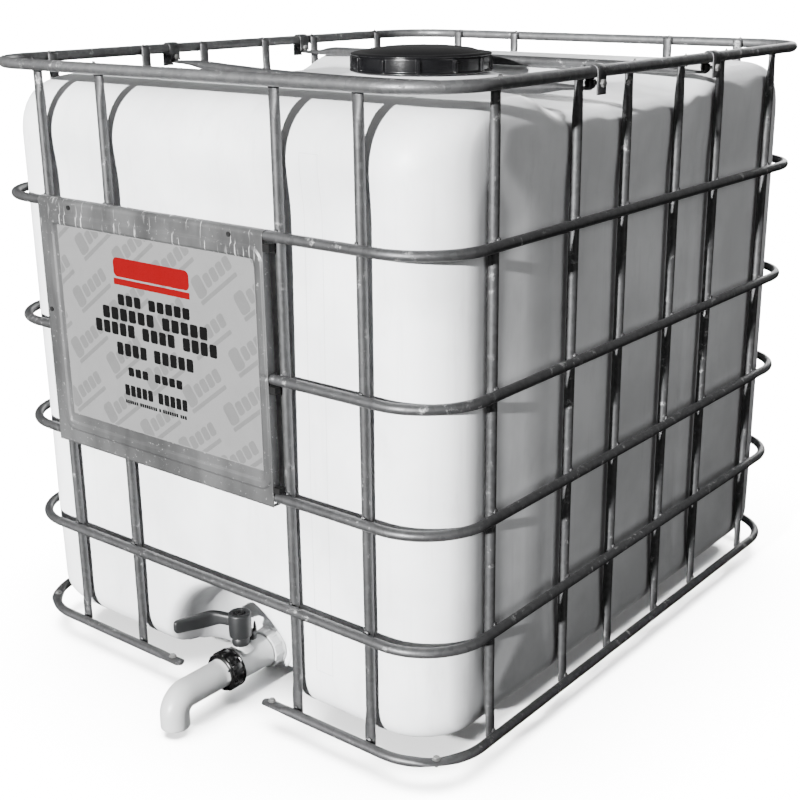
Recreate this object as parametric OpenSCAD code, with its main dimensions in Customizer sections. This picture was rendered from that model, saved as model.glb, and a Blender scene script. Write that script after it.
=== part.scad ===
// Intermediate bulk container: a blow-moulded bottle in a welded round-tube cage,
// with a screw cap on top and a lever valve with a spout at the front.
// X runs left to right, Y front to back, Z up from the floor. Sizes are in mm.

/* [Cage] */
// Outside width of the cage
cage_w = 1000; // [990:1:1010]
// Outside depth of the cage
cage_d = 1200; // [1190:1:1210]
// Diameter of the ring, bottom rail and post tubes
tube_d = 16; // [15.5:0.25:16.5]
// Diameter of the top rail tube
top_d = 18; // [17.5:0.25:18.5]
// Wall of every steel tube
wall = 1.25; // [1:0.05:1.5]
// Centre-line corner radius of the rings and rails
corner_r = 110; // [100:1:118]
// Height of the top rail centre line
top_z = 1055; // [1053:0.5:1057]
// Height of the first ring from the top
ring_1_z = 835; // [830:1:840]
// Height of the second ring
ring_2_z = 618; // [613:1:623]
// Height of the third ring
ring_3_z = 427; // [425:0.5:429]
// Height of the fourth ring
ring_4_z = 239; // [236:1:244]
// Height of the bottom rail centre line
bottom_z = 53; // [51:0.5:55]
// Offset of the outer front and back posts from the centre
post_x_outer = 345; // [342:0.5:348]
// Offset of the inner front and back posts from the centre
post_x_inner = 190; // [188.5:0.5:192]
// Offset of the outer side posts from the centre
post_y_outer = 446; // [440:1:452]
// Offset of the middle side posts from the centre
post_y_mid = 234; // [234:0.5:238]
// Offset of the inner side posts from the centre
post_y_inner = 86; // [80:1:92]

/* [Bottle] */
// Gap between the bottle sides and the cage outside
bottle_inset = 32.5; // [32:0.25:34]
// Wall of the bottle
bottle_wall = 3; // [2.5:0.1:3.2]
// Height of the middle deck
deck_z = 1007; // [1005:0.5:1007]
// Height of the front and back shoulders
shoulder_z = 1029; // [1026:0.5:1031]

/* [Closure] */
// Outside radius of the cap over its ribs
cap_r = 130; // [129:0.5:131]
// Height of the cap top
cap_top_z = 1063; // [1062:0.5:1064]

/* [Valve] */
// Sideways offset of the valve
valve_x = 20; // [18:0.5:22]
// Height of the valve bore
valve_z = 64; // [64:0.5:66]
// Depth position of the lever shaft
stem_y = -538; // [-539:0.5:-537]
// Outside radius of the spout tube
spout_r = 24.5; // [24:0.1:24.6]

/* [Hidden] */
$fn = 64;
tube_r = tube_d / 2;
top_r = top_d / 2;
bite = 0.1;
half_w = cage_w / 2;
half_d = cage_d / 2;
flat_t = 7;
flat_r = 10.5;
flat_h = 34;
post_z0 = bottom_z - 5;
post_z1 = top_z + 6;
post_in = tube_d + tube_r - bite;
bottle_x = half_w - bottle_inset;
bottle_y = half_d - bottle_inset;
gap_l = -73;
gap_r = 128;
bolt_l = -97;
bolt_r = 140;
corner_bolt = corner_r * sqrt(0.5);
tab_t = 8;
tab_w = 20;
strap_w = 24;
strap_t = 2.5;
strap_drop = 33;
strap_in = 11.3;
bar_r = 9;
bar_flat = 6;
bar_end = 455;
front_bar_z = 1026;
rear_bar_z = 1034;
bar_flat_z = top_z - top_r - 19;
front_skew = 3.2;
rear_skew = 2.7;
front_bar_y = -184.5;
rear_bar_y = 186;
front_l_y = front_bar_y + bar_end * tan(front_skew);
front_r_y = front_bar_y - bar_end * tan(front_skew);
rear_l_y = rear_bar_y + bar_end * tan(rear_skew);
rear_r_y = rear_bar_y - bar_end * tan(rear_skew);
plate_x0 = -345;
plate_x1 = 178;
plate_z0 = 413;
plate_t = 1;
plate_y = -half_d - plate_t - 0.2;
label_x0 = -298;
label_x1 = 160;
label_z0 = 470;
label_z1 = 800;
neck_r = 113;
neck_top_z = 1048;
cap_bottom_z = 1024;
disc_r = 21.9;
bore_r = 22;
body_r = 28;
thread_r = 29;
stem_r = 6;
groove_a = 28;
groove_b = 36;
hub_z0 = valve_z + 50;
hub_z1 = valve_z + 94;
spout_bend = 28;
spout_y = -694;
spout_z = 15;

// ---------- tube shapes ----------

// A hollow tube along Z
module pipe(r, h) {
    difference() {
        cylinder(r = r, h = h);
        translate([0, 0, -1]) cylinder(r = r - wall, h = h + 2);
    }
}

// A quarter bend of hollow tube in the XY plane
module bend(r) {
    rotate_extrude(angle = 90) translate([corner_r, 0]) difference() {
        circle(r);
        circle(r - wall);
    }
}

// A closed tube ring with rounded corners, centre line hx by hy
module tube_ring(hx, hy, r) {
    sx = hx - corner_r;
    sy = hy - corner_r;
    difference() {
        union() {
            for (s = [-1, 1]) {
                translate([-sx, s * hy, 0]) rotate([0, 90, 0]) pipe(r, 2 * sx);
                translate([s * hx, sy, 0]) rotate([90, 0, 0]) pipe(r, 2 * sy);
            }
            translate([sx, sy, 0]) bend(r);
            translate([-sx, sy, 0]) rotate([0, 0, 90]) bend(r);
            translate([-sx, -sy, 0]) rotate([0, 0, 180]) bend(r);
            translate([sx, -sy, 0]) rotate([0, 0, 270]) bend(r);
        }
        translate([0, hy, -r - 1]) cylinder(r = 1.5, h = r);
    }
}

module galvanised() {
    color([0.66, 0.67, 0.69]) children();
}

module top_rail() {
    galvanised() translate([0, 0, top_z]) tube_ring(half_w - top_r, half_d - top_r, top_r);
}

module ring_at(z) {
    galvanised() translate([0, 0, z]) tube_ring(half_w - tube_r, half_d - tube_r, tube_r);
}

module ring_1() {
    ring_at(ring_1_z);
}

module ring_2() {
    ring_at(ring_2_z);
}

module ring_3() {
    ring_at(ring_3_z);
}

module ring_4() {
    ring_at(ring_4_z);
}

// A flattened tube end with its screw hole
module rail_tab(x0, x1, hole_x) {
    y = -half_d + tube_r;
    difference() {
        translate([x0, y - tab_w / 2, bottom_z - tab_t / 2]) cube([x1 - x0, tab_w, tab_t]);
        translate([hole_x, y, bottom_z - 10]) cylinder(r = 4.1, h = 20);
    }
}

// A flattened patch in a rail corner with its screw hole
module corner_pad(s) {
    cx = half_w - tube_r - corner_r + corner_bolt;
    cy = -half_d + tube_r + corner_r - corner_bolt;
    translate([s * cx, cy, bottom_z - tab_t / 2]) cylinder(r = 13, h = tab_t);
}

module corner_hole(s) {
    cx = half_w - tube_r - corner_r + corner_bolt;
    cy = -half_d + tube_r + corner_r - corner_bolt;
    translate([s * cx, cy, bottom_z - 20]) cylinder(r = 4.1, h = 40);
    for (z = [-20, tab_t / 2]) {
        translate([s * cx, cy, bottom_z + z]) cylinder(r = 9, h = 20 - tab_t / 2);
    }
}

module bottom_rail() {
    hx = half_w - tube_r;
    hy = half_d - tube_r;
    sx = hx - corner_r;
    sy = hy - corner_r;
    galvanised() {
        difference() {
            union() {
                translate([0, 0, bottom_z]) {
                    translate([-sx, hy, 0]) rotate([0, 90, 0]) pipe(tube_r, 2 * sx);
                    for (s = [-1, 1]) {
                        translate([s * hx, sy, 0]) rotate([90, 0, 0]) pipe(tube_r, 2 * sy);
                    }
                    translate([sx, sy, 0]) bend(tube_r);
                    translate([-sx, sy, 0]) rotate([0, 0, 90]) bend(tube_r);
                    translate([-sx, -sy, 0]) rotate([0, 0, 180]) bend(tube_r);
                    translate([sx, -sy, 0]) rotate([0, 0, 270]) bend(tube_r);
                    translate([-sx, -hy, 0]) rotate([0, 90, 0]) pipe(tube_r, sx + gap_l - 40);
                    translate([gap_r + 40, -hy, 0]) rotate([0, 90, 0]) pipe(tube_r, sx - gap_r - 40);
                }
                for (s = [-1, 1]) corner_pad(s);
            }
            for (s = [-1, 1]) corner_hole(s);
        }
        rail_tab(gap_l - 46, gap_l, bolt_l);
        rail_tab(gap_r, gap_r + 46, bolt_r + 4);
    }
}

// ---------- posts ----------

// A flattened post end lying against a rail whose inner face is at y = 0
module post_flat(z) {
    intersection() {
        translate([0, flat_t / 2, z]) cylinder(r = flat_r, h = flat_h);
        translate([-20, 0, z]) cube([40, flat_t, flat_h]);
    }
}

// A post seen from its face: y = 0 is the outside of the cage
module post() {
    galvanised() {
        translate([0, post_in, post_z0 + flat_h - 5])
            pipe(tube_r, post_z1 - post_z0 - 2 * flat_h + 10);
        translate([0, tube_d - bite, 0]) post_flat(post_z0);
        translate([0, top_d - bite, 0]) post_flat(post_z1 - flat_h);
    }
}

module front_post(x) {
    translate([x, -half_d, 0]) post();
}

module back_post(x) {
    translate([x, half_d, 0]) rotate([0, 0, 180]) post();
}

module left_post(y) {
    translate([-half_w, y, 0]) rotate([0, 0, -90]) post();
}

module right_post(y) {
    translate([half_w, y, 0]) rotate([0, 0, 90]) post();
}

// ---------- top bars ----------

// The flattened, upturned end of a cross bar, in the frame of its clamp
module bar_tip(s, x_in) {
    tip = half_w - top_d + 7;
    difference() {
        union() {
            translate([min(s * x_in, s * tip), -10, bar_flat_z]) cube([tip - x_in, 20, bar_flat]);
            translate([min(s * (tip - 5), s * tip), -10, bar_flat_z]) cube([5, 20, 17]);
        }
        translate([s * (tip - 20), 0, bar_flat_z + 11.5]) rotate([0, 90, 0])
            cylinder(r = 3.1, h = 40, center = true);
    }
    translate([s * (x_in + 4), 0, bar_flat_z + bar_flat / 2]) rotate([0, s * 90, 0])
        translate([0, 0, -16]) cylinder(r = 7, h = 16);
}

// A cross bar, y at its middle, with its ends flattened and turned up against the rails
module cross_bar(y, z, skew, left_y, right_y) {
    len = 2 * bar_end / cos(skew);
    galvanised() {
        translate([0, y, z]) rotate([0, 0, -skew]) rotate([0, 90, 0])
            translate([0, 0, -len / 2]) pipe(bar_r, len);
        translate([0, left_y, 0]) bar_tip(-1, bar_end - 10);
        translate([0, right_y, 0]) bar_tip(1, bar_end - 10);
    }
}

module front_bar() {
    cross_bar(front_bar_y, front_bar_z, front_skew, front_l_y, front_r_y);
}

module rear_bar() {
    cross_bar(rear_bar_y, rear_bar_z, rear_skew, rear_l_y, rear_r_y);
}

// A sheet strap over the top rail with a leg on each side of it
module clamp_at(s, y) {
    rail_x = half_w - top_r;
    galvanised() translate([s * rail_x, y, top_z]) difference() {
        union() {
            rotate([90, 0, 0]) translate([0, 0, -strap_w / 2]) difference() {
                cylinder(r = top_r + strap_t, h = strap_w);
                translate([0, 0, -1]) cylinder(r = top_r, h = strap_w + 2);
                translate([-30, -60, -1]) cube([60, 60, strap_w + 2]);
            }
            translate([min(s * top_r, s * (top_r + strap_t)), -strap_w / 2, -strap_drop])
                cube([strap_t, strap_w, strap_drop]);
            translate([min(-s * top_r, -s * (top_r + strap_t)), -strap_w / 2, strap_in - strap_drop])
                cube([strap_t, strap_w, strap_drop - strap_in]);
        }
        translate([0, 0, bar_flat_z + 11.5 - top_z]) rotate([0, 90, 0])
            cylinder(r = 3.1, h = 60, center = true);
    }
}

module clamp_front_left() {
    clamp_at(-1, front_l_y);
}

module clamp_front_right() {
    clamp_at(1, front_r_y);
}

module clamp_rear_left() {
    clamp_at(-1, rear_l_y);
}

module clamp_rear_right() {
    clamp_at(1, rear_r_y);
}

module clamp_bolt(s, y) {
    out = half_w + strap_t;
    translate([s * out, y, bar_flat_z + 11.5]) rotate([0, s * 90, 0]) {
        rotate([0, 0, 30]) cylinder(r = 6.5, h = 4.5, $fn = 6);
        translate([0, 0, -28]) cylinder(r = 3, h = 29);
        translate([0, 0, -28]) rotate([0, 0, 30]) cylinder(r = 5.9, h = 4.9, $fn = 6);
    }
}

module clamp_bolts() {
    color([0.72, 0.72, 0.7]) {
        clamp_bolt(-1, front_l_y);
        clamp_bolt(1, front_r_y);
        clamp_bolt(-1, rear_l_y);
        clamp_bolt(1, rear_r_y);
    }
}

module rail_screw(x, y) {
    translate([x, y, bottom_z + tab_t / 2]) {
        cylinder(r = 7, h = 4.5);
        translate([0, 0, -20]) cylinder(r = 4, h = 21);
    }
}

module rail_screws() {
    cx = half_w - tube_r - corner_r + corner_bolt;
    cy = -half_d + tube_r + corner_r - corner_bolt;
    color([0.72, 0.72, 0.7]) {
        rail_screw(-cx, cy);
        rail_screw(cx, cy);
        rail_screw(bolt_l, -half_d + tube_r);
        rail_screw(bolt_r + 4, -half_d + tube_r);
    }
}

// ---------- label plate ----------

module label_plate() {
    w = plate_x1 - plate_x0;
    ring_y = -half_d + tube_r;
    hook_r = tube_r + 0.2;
    color([0.52, 0.53, 0.54]) difference() {
        union() {
            translate([plate_x0, plate_y, plate_z0]) cube([w, plate_t, ring_1_z - plate_z0]);
            translate([plate_x0, ring_y, ring_1_z]) rotate([0, 90, 0]) difference() {
                cylinder(r = hook_r + plate_t, h = w);
                translate([0, 0, -1]) cylinder(r = hook_r, h = w + 2);
                translate([0, -30, -1]) cube([60, 60, w + 2]);
                translate([-30, 4, -1]) cube([60, 60, w + 2]);
            }
            for (x = [plate_x0, plate_x1 - plate_t]) {
                translate([x, plate_y, plate_z0]) cube([plate_t, 15, ring_1_z - plate_z0 - 11]);
            }
        }
        for (z = [ring_2_z, ring_3_z]) {
            translate([plate_x0 - 1, ring_y, z]) rotate([0, 90, 0])
                cylinder(r = tube_r + 0.1, h = w + 2);
            translate([plate_x0 - 1, ring_y, z - tube_r - 0.1]) cube([w + 2, 20, tube_d + 0.2]);
        }
        for (x = [-264, 110]) {
            translate([x, plate_y - 1, ring_1_z - 4]) rotate([-90, 0, 0]) cylinder(r = 2.1, h = 4);
        }
        translate([-334, plate_y - 1, 650]) rotate([-90, 0, 0]) cylinder(r = 2.1, h = 4);
    }
}

module plate_rivet(x, z) {
    translate([x, plate_y, z]) rotate([90, 0, 0]) {
        cylinder(r = 4, h = 1.6);
        translate([0, 0, -plate_t - 0.15]) cylinder(r = 2, h = 1.5);
    }
}

module plate_rivets() {
    color([0.3, 0.3, 0.3]) {
        plate_rivet(-264, ring_1_z - 4);
        plate_rivet(110, ring_1_z - 4);
        plate_rivet(-334, 650);
    }
}

module plate_pad(z, h) {
    translate([plate_x1, plate_y + 1.2, z]) cube([12, 13, h]);
}

module plate_pads() {
    color([0.05, 0.05, 0.05]) {
        plate_pad(ring_1_z - 22.5, 12);
        plate_pad(ring_2_z - 21.7, 12);
        plate_pad(ring_3_z + 9.7, 9);
    }
}

module label_panel() {
    color([0.75, 0.75, 0.75]) translate([label_x0, plate_y - 0.5, label_z0])
        cube([label_x1 - label_x0, 0.5, label_z1 - label_z0]);
}

// ---------- bottle ----------

// The outer body shrunk by t on every side
module bottle_body(t) {
    edge = 85;
    x = bottle_x - edge;
    y = bottle_y - edge;
    hull() {
        for (i = [-1, 1]) {
            for (j = [-1, 1]) {
                translate([i * x, j * y, 47 + edge]) sphere(r = edge - t, $fn = 32);
                translate([i * x, j * y, deck_z - edge]) sphere(r = edge - t, $fn = 32);
                translate([i * 250, j * 350, t]) cylinder(r = 1, h = 1, $fn = 12);
            }
        }
    }
}

// A raised shoulder block across the front or back edge, shrunk by t
module shoulder(s, y_top, y_low, t) {
    edge = 92;
    x = bottle_x - edge;
    y = bottle_y - edge;
    hull() {
        for (i = [-1, 1]) {
            translate([i * x, s * y, shoulder_z - edge]) sphere(r = edge - t, $fn = 32);
            translate([i * x, s * (y_top + t), shoulder_z - t - 40]) sphere(r = 40, $fn = 32);
            translate([i * x, s * (y_low + t), deck_z - t - 60]) cylinder(r = 20, h = 58, $fn = 12);
            translate([i * x, s * y, 800]) sphere(r = edge - t, $fn = 32);
        }
    }
}

// The arched hollow for the valve, grown by t
module valve_recess(t) {
    z = 50;
    front = 152 + t;
    back = 115 + t;
    depth = 106 + t;
    translate([valve_x, -bottle_y - 1, z]) rotate([-90, 0, 0])
        cylinder(r1 = front, r2 = back, h = depth);
    translate([valve_x, -bottle_y - 1, -60]) linear_extrude(height = 60 + z)
        polygon([[-front, 0], [front, 0], [back, depth], [-back, depth]]);
}

module bottle() {
    color([0.93, 0.94, 0.95]) difference() {
        union() {
            difference() {
                union() {
                    bottle_body(0);
                    shoulder(-1, 305, 255, 0);
                    shoulder(1, 232, 155, 0);
                }
                valve_recess(0);
            }
            translate([0, 0, deck_z - 4]) cylinder(r1 = 185, r2 = 134, h = 18);
            translate([0, 0, deck_z]) cylinder(r = neck_r, h = neck_top_z - deck_z);
            for (z = [1029, 1038]) translate([0, 0, z]) cylinder(r = neck_r + 4, h = 3);
            translate([valve_x, -bottle_y + 91, valve_z]) rotate([-90, 0, 0]) cylinder(r = 30, h = 40);
        }
        difference() {
            union() {
                bottle_body(bottle_wall);
                shoulder(-1, 305, 255, bottle_wall);
                shoulder(1, 232, 155, bottle_wall);
            }
            valve_recess(bottle_wall);
        }
        translate([0, 0, deck_z - 60]) cylinder(r = neck_r - 7, h = 120);
        translate([valve_x, -bottle_y + 80, valve_z]) rotate([-90, 0, 0]) cylinder(r = bore_r, h = 60);
        translate([valve_x, -bottle_y + 109, valve_z]) rotate([-90, 0, 0]) cylinder(r = 27, h = 30);
    }
}

// ---------- cap ----------

module cap() {
    skirt_r = cap_r - 3;
    color([0.04, 0.04, 0.04]) difference() {
        union() {
            translate([0, 0, cap_bottom_z]) cylinder(r = skirt_r, h = cap_top_z - 8 - cap_bottom_z);
            translate([0, 0, cap_bottom_z]) cylinder(r = cap_r, h = 3);
            translate([0, 0, cap_top_z - 8.01])
                cylinder(r1 = skirt_r, r2 = skirt_r - 4, h = 3.01);
            translate([0, 0, cap_top_z - 5]) cylinder(r1 = skirt_r - 8, r2 = skirt_r - 18, h = 5);
            for (i = [0:11]) rotate([0, 0, i * 30 + 6])
                translate([skirt_r - 2, -3, cap_bottom_z]) cube([5, 6, cap_top_z - 9 - cap_bottom_z]);
        }
        translate([0, 0, cap_bottom_z - 1]) cylinder(r = neck_r + 4.6, h = neck_top_z + 3.1 - cap_bottom_z);
    }
}

module cap_seal() {
    color([0.15, 0.15, 0.15]) translate([0, 0, neck_top_z + 0.3]) difference() {
        cylinder(r = neck_r + 2, h = 1.7);
        translate([0, 0, -1]) cylinder(r = neck_r - 9, h = 4);
    }
}

// ---------- valve ----------

// Places a part on the bore line: local Z runs back along Y from y
module on_bore(y) {
    translate([valve_x, y, valve_z]) rotate([-90, 0, 0]) children();
}

module ring_on_bore(y0, y1, ro, ri) {
    on_bore(y0) difference() {
        cylinder(r = ro, h = y1 - y0);
        translate([0, 0, -1]) cylinder(r = ri, h = y1 - y0 + 2);
    }
}

module outlet_gasket() {
    color([0.1, 0.1, 0.1]) ring_on_bore(-479.2, -476.5, 29, bore_r);
}

module outlet_nut() {
    color([0.9, 0.9, 0.9]) {
        ring_on_bore(-483.9, -465, 36, 30.1);
        ring_on_bore(-488, -483.8, 36, body_r + 0.15);
        for (a = [0:30:330]) on_bore(-486) rotate([0, 0, a])
            translate([35, -2.5, 0]) cube([2.5, 5, 18]);
    }
}

module valve_body() {
    color([0.92, 0.92, 0.92]) difference() {
        union() {
            on_bore(-572) cylinder(r = body_r, h = 92.8);
            on_bore(-572) cylinder(r = thread_r, h = 14);
            on_bore(-483.7) cylinder(r = 30, h = 4.5);
            translate([valve_x, stem_y, valve_z]) cylinder(r = 13, h = 45);
        }
        on_bore(-573) cylinder(r = bore_r, h = 95);
        translate([valve_x, stem_y, valve_z]) cylinder(r = stem_r + 0.05, h = 60);
        translate([valve_x, stem_y, valve_z - 25.6]) cylinder(r = stem_r + 0.05, h = 10);
    }
}

module valve_disc() {
    color([0.85, 0.85, 0.85]) translate([valve_x, stem_y, valve_z]) difference() {
        intersection() {
            sphere(r = disc_r);
            union() {
                cube([60, 5, 60], center = true);
                cylinder(r = 8.5, h = 60, center = true);
            }
        }
        cylinder(r = stem_r, h = 60, center = true);
    }
}

module valve_stem() {
    color([0.6, 0.6, 0.62]) translate([valve_x, stem_y, valve_z]) difference() {
        translate([0, 0, -25.4]) cylinder(r = stem_r, h = 109.4);
        for (z = [groove_a, groove_b]) translate([0, 0, z]) difference() {
            cylinder(r = stem_r + 1, h = 2.2);
            translate([0, 0, -1]) cylinder(r = 4.2, h = 5);
        }
        translate([0, 0, 66]) cylinder(r = 2.5, h = 20);
    }
}

module stem_orings() {
    color([0.1, 0.1, 0.1]) translate([valve_x, stem_y, valve_z])
        for (z = [groove_a, groove_b]) translate([0, 0, z + 1.1])
            rotate_extrude() translate([5.1, 0]) circle(0.89);
}

// The stop plate under the lever: a ring on the shaft collar with a boss and a stop pin behind
module stop_plate() {
    color([0.2, 0.2, 0.2]) translate([valve_x, stem_y, valve_z]) difference() {
        union() {
            translate([0, 0, 45]) cylinder(r = 15, h = 4);
            translate([-7, 10, 45]) cube([14, 16, 4]);
            translate([0, 24, 34]) cylinder(r = 10, h = 15);
            translate([3, 31, 49]) cylinder(r = 2, h = 17);
        }
        translate([0, 0, 40]) cylinder(r = stem_r + 0.3, h = 20);
        translate([0, 0, 30]) cylinder(r = 13.1, h = 15);
    }
}

// The lever: a hub, a short arm to the side and a grip bent forward
module valve_handle() {
    arm_z0 = hub_z0 + 17;
    arm_h = 24;
    bx = -43;
    by = -21;
    tx = -65;
    ty = -83;
    color([0.22, 0.22, 0.23]) translate([valve_x, stem_y, 0]) difference() {
        union() {
            translate([0, 0, hub_z0]) cylinder(r = 19.5, h = hub_z1 - hub_z0);
            translate([0, 0, arm_z0]) linear_extrude(height = arm_h)
                polygon([[0, 7], [bx - 6, by + 7], [bx + 3, by - 8], [0, -9]]);
            translate([bx, by, arm_z0]) cylinder(r = 8, h = arm_h);
            translate([0, 0, arm_z0]) linear_extrude(height = arm_h)
                polygon([[bx - 8, by], [bx + 8, by], [tx + 6, ty], [tx - 6, ty]]);
            translate([tx, ty, arm_z0]) cylinder(r = 6, h = arm_h);
        }
        translate([0, 0, hub_z0 - 1]) cylinder(r = stem_r + 0.02, h = valve_z + 84.1 - hub_z0 + 1);
        translate([0, 0, hub_z0]) cylinder(r = 2.6, h = 60);
        translate([0, 0, hub_z1 - 4]) cylinder(r = 11, h = 5);
    }
}

module handle_screw() {
    color([0.5, 0.5, 0.5]) translate([valve_x, stem_y, hub_z1 - 4]) difference() {
        union() {
            cylinder(r = 7.5, h = 4);
            translate([0, 0, -18]) cylinder(r = 2.45, h = 19);
        }
        translate([0, 0, 2]) cylinder(r = 3.5, h = 5, $fn = 6);
    }
}

module coupling_nut() {
    color([0.04, 0.04, 0.04]) {
        difference() {
            union() {
                on_bore(-588) cylinder(r = 32.5, h = 27);
                on_bore(-590) cylinder(r1 = 29.5, r2 = 32.5, h = 2.01);
                on_bore(-563.5) cylinder(r = 34.5, h = 2.5);
                for (a = [0:45:315]) on_bore(-586) rotate([0, 0, a])
                    translate([31, -7, 0]) cube([3.5, 14, 24]);
            }
            on_bore(-583.3) cylinder(r = thread_r + 0.06, h = 30);
            on_bore(-600) cylinder(r = spout_r + 0.3, h = 40);
        }
        for (a = [150, 330]) on_bore(-596) rotate([0, 0, a])
            translate([29.5, -2, 0]) cube([3, 4, 10]);
    }
}

module spout() {
    color([0.95, 0.95, 0.95]) difference() {
        union() {
            on_bore(-583) cylinder(r = thread_r - 0.3, h = 8);
            on_bore(spout_y + spout_bend) cylinder(r = spout_r, h = -576 - spout_y - spout_bend);
            translate([valve_x, spout_y + spout_bend, valve_z - spout_bend]) rotate([90, 0, 90])
                rotate_extrude(angle = 90, start = 90) translate([spout_bend, 0]) circle(spout_r);
            translate([valve_x, spout_y, spout_z]) cylinder(r = spout_r, h = valve_z - spout_bend - spout_z);
        }
        on_bore(spout_y + spout_bend) cylinder(r = spout_r - 3, h = 200);
        translate([valve_x, spout_y + spout_bend, valve_z - spout_bend]) rotate([90, 0, 90])
            rotate_extrude(angle = 90, start = 90) translate([spout_bend, 0]) circle(spout_r - 3);
        translate([valve_x, spout_y, spout_z - 1])
            cylinder(r = spout_r - 3, h = valve_z - spout_bend - spout_z + 1);
    }
}

module spout_seal() {
    color([0.1, 0.1, 0.1]) ring_on_bore(-575, -572.3, 28, bore_r);
}

// ---------- nodes ----------

top_rail();
ring_1();
ring_2();
ring_3();
ring_4();
bottom_rail();
front_post(-post_x_outer);  // front_post_1
front_post(-post_x_inner);  // front_post_2
front_post(post_x_inner);  // front_post_3
front_post(post_x_outer);  // front_post_4
back_post(-post_x_outer);  // back_post_1
back_post(-post_x_inner);  // back_post_2
back_post(post_x_inner);  // back_post_3
back_post(post_x_outer);  // back_post_4
left_post(-post_y_outer);  // left_post_1
left_post(-post_y_mid);  // left_post_2
left_post(-post_y_inner);  // left_post_3
left_post(post_y_inner);  // left_post_4
left_post(post_y_mid);  // left_post_5
left_post(post_y_outer);  // left_post_6
right_post(-post_y_outer);  // right_post_1
right_post(-post_y_mid);  // right_post_2
right_post(-post_y_inner);  // right_post_3
right_post(post_y_inner);  // right_post_4
right_post(post_y_mid);  // right_post_5
right_post(post_y_outer);  // right_post_6
front_bar();
rear_bar();
clamp_front_left();
clamp_front_right();
clamp_rear_left();
clamp_rear_right();
clamp_bolts();
rail_screws();
label_plate();
plate_rivets();
plate_pads();
label_panel();
bottle();
cap();
cap_seal();
outlet_nut();
outlet_gasket();
valve_body();
valve_disc();
valve_stem();
stem_orings();
stop_plate();
valve_handle();
handle_screw();
coupling_nut();
spout();
spout_seal();
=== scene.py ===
import math
import random

import bmesh
import bpy
from mathutils import Matrix, Vector, noise


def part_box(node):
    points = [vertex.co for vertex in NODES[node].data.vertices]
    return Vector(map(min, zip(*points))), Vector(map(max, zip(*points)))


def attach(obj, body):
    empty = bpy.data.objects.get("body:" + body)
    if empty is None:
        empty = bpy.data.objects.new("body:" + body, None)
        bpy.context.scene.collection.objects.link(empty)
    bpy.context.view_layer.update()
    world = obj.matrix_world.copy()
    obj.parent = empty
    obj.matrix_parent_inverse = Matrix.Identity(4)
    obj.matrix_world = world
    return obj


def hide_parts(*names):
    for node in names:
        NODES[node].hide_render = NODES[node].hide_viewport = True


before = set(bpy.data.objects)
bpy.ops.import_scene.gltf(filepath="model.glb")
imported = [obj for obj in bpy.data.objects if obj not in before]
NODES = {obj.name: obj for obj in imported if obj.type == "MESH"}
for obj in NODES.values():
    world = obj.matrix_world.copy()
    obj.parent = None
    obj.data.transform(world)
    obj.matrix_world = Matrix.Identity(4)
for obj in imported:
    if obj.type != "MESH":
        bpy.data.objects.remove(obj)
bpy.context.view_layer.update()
MM = 0.001
LUG_STEP = 30  # degrees between the ribs of the cap and between the lugs of the nuts

# ---------- small helpers ----------


def node_box(node):
    """The lowest and highest corner of a CAD node."""
    return [Vector(corner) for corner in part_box(node)]


def centre(node):
    """Middle of a CAD node's box."""
    low, high = node_box(node)
    return (low + high) / 2


def smoothstep(low, high, value):
    t = min(1.0, max(0.0, (value - low) / (high - low)))
    return t * t * (3 - 2 * t)


def add_mesh(name, verts, faces, material, body="container", smooth=True):
    """A new piece of the object that rides on a CAD body."""
    mesh = bpy.data.meshes.new(name)
    mesh.from_pydata([tuple(v) for v in verts], [], faces)
    mesh.validate()
    obj = bpy.data.objects.new(name, mesh)
    bpy.context.scene.collection.objects.link(obj)
    bm = bmesh.new()
    bm.from_mesh(mesh)
    bmesh.ops.recalc_face_normals(bm, faces=bm.faces)
    bm.to_mesh(mesh)
    bm.free()
    for polygon in mesh.polygons:
        polygon.use_smooth = smooth
    mesh.materials.append(material)
    if body:
        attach(obj, body)
    return obj


def modifier(obj, kind, **settings):
    made = obj.modifiers.new(kind.lower(), kind)
    for key, value in settings.items():
        setattr(made, key, value)
    return made


def apply_modifiers(obj):
    """Puts the result of the modifiers into the object's own mesh."""
    graph = bpy.context.evaluated_depsgraph_get()
    result = bpy.data.meshes.new_from_object(obj.evaluated_get(graph))
    obj.modifiers.clear()
    obj.data = result
    for polygon in result.polygons:
        polygon.use_smooth = True


def grid_faces(rows, columns, closed_rows=False, closed_columns=True):
    """Quads between rows of points, each row holding the same number of points."""
    faces = []
    for i in range(rows if closed_rows else rows - 1):
        for j in range(columns if closed_columns else columns - 1):
            a, b = i * columns + j, i * columns + (j + 1) % columns
            k = ((i + 1) % rows) * columns
            faces.append((a, b, k + (j + 1) % columns, k + j))
    return faces


def capped_faces(rows, columns):
    """Quads between closed rows of points, and a face that closes each end."""
    last = (rows - 1) * columns
    return grid_faces(rows, columns) + [tuple(range(columns)), tuple(range(last, last + columns))]


def even_angles(count):
    return [2 * math.pi * i / count for i in range(count)]


def in_mm(profile, radius=0.0, height=0.0):
    """A profile in metres from one in mm that starts at a radius and a height. A function stays as it is."""
    return [(r if callable(r) else radius + r * MM, height + h * MM) for r, h in profile]


def lathe(name, profile, axis_point, material, body="container", axis="Z", angles=None, closed=True):
    """A piece turned round an axis through axis_point. The profile is (radius, height) pairs.

    A radius may be a function of the angle. A closed profile makes a ring; an open one gets end caps.
    """
    angles = angles or even_angles(72)
    verts = []
    for radius, height in profile:
        for a in angles:
            r = radius(a) if callable(radius) else radius
            across = Vector((r * math.cos(a), r * math.sin(a), height))
            if axis == "Y":
                across = Vector((across.x, across.z, -across.y))
            verts.append(Vector(axis_point) + across)
    rows, columns = len(profile), len(angles)
    faces = grid_faces(rows, columns, closed_rows=True) if closed else capped_faces(rows, columns)
    return add_mesh(name, verts, faces, material, body)


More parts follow.
